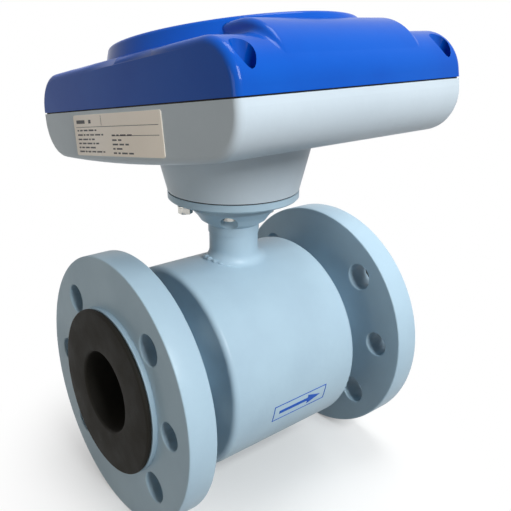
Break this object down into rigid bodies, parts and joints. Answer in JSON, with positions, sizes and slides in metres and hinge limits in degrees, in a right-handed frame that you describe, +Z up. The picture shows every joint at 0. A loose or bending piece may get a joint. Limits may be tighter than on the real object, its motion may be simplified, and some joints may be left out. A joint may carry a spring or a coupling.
{
  "type": "electromagnetic flow meter",
  "caption": "Flanged electromagnetic flow meter: lined tube, round coil housing, short neck and wide converter with a domed lift-off cover.",
  "frame": {"origin": "centre of the bore, midway between the two gasket faces", "axes": "+X along the bore from inlet to outlet, +Z up through the neck, +Y towards the cable glands"},
  "size_m": [0.2, 0.2325, 0.302],
  "materials": {
    "tube_paint": "two-coat paint, light blue-grey, semi-gloss",
    "housing_paint": "powder coat, light grey, semi-gloss",
    "cover_paint": "gloss paint, saturated blue",
    "liner": "hard rubber, black, matt",
    "tube_steel": "plain stainless tube",
    "core_steel": "plain mild steel",
    "winding": "taped copper winding",
    "gasket_rubber": "black gasket rubber",
    "screw_steel": "bright stainless screws",
    "board_laminate": "green board laminate",
    "module_plastic": "black potting case",
    "terminal_plastic": "green-grey terminal plastic",
    "plate_foil": "bare satin foil plate",
    "electrode_metal": "polished alloy",
    "insulator_plastic": "natural white plastic",
    "gland_plastic": "black polyamide"
  },
  "bodies": {
    "meter": {"liner": "liner", "measuring_tube": "tube_steel", "inlet_flange": "tube_paint", "outlet_flange": "tube_paint", "coil_housing_shell": "tube_paint", "inlet_end_plate": "tube_paint", "outlet_end_plate": "tube_paint", "upper_pole": "core_steel", "lower_pole": "core_steel", "upper_coil": "winding", "lower_coil": "winding", "return_yoke": "core_steel", "neck": "tube_paint", "neck_collar": "tube_paint", "base_ring": "tube_paint", "ring_gasket": "gasket_rubber", "earth_screw": "screw_steel", "lower_housing": "housing_paint", "circuit_board": "board_laminate", "power_module": "module_plastic", "terminal_block": "terminal_plastic", "rating_plate": "plate_foil", "left_electrode": "electrode_metal", "right_electrode": "electrode_metal", "left_insulator": "insulator_plastic", "right_insulator": "insulator_plastic", "neck_screw_1": "screw_steel", "board_screw_1": "screw_steel", "neck_screw_2": "screw_steel", "board_screw_2": "screw_steel", "neck_screw_3": "screw_steel", "board_screw_3": "screw_steel", "neck_screw_4": "screw_steel", "board_screw_4": "screw_steel", "cable_gland_1": "gland_plastic", "gland_plug_1": "gland_plastic", "cable_gland_2": "gland_plastic", "gland_plug_2": "gland_plastic"},
    "cover": {"cover": "cover_paint", "cover_gasket": "gasket_rubber", "cover_screw_1": "screw_steel", "cover_screw_2": "screw_steel", "cover_screw_3": "screw_steel", "cover_screw_4": "screw_steel"}
  },
  "joints": [
    {"name": "cover_lift", "type": "slide", "parent": "meter", "child": "cover", "axis": [0, 0.1392, 0.9903], "range_m": [0, 0.08]}
  ]
}
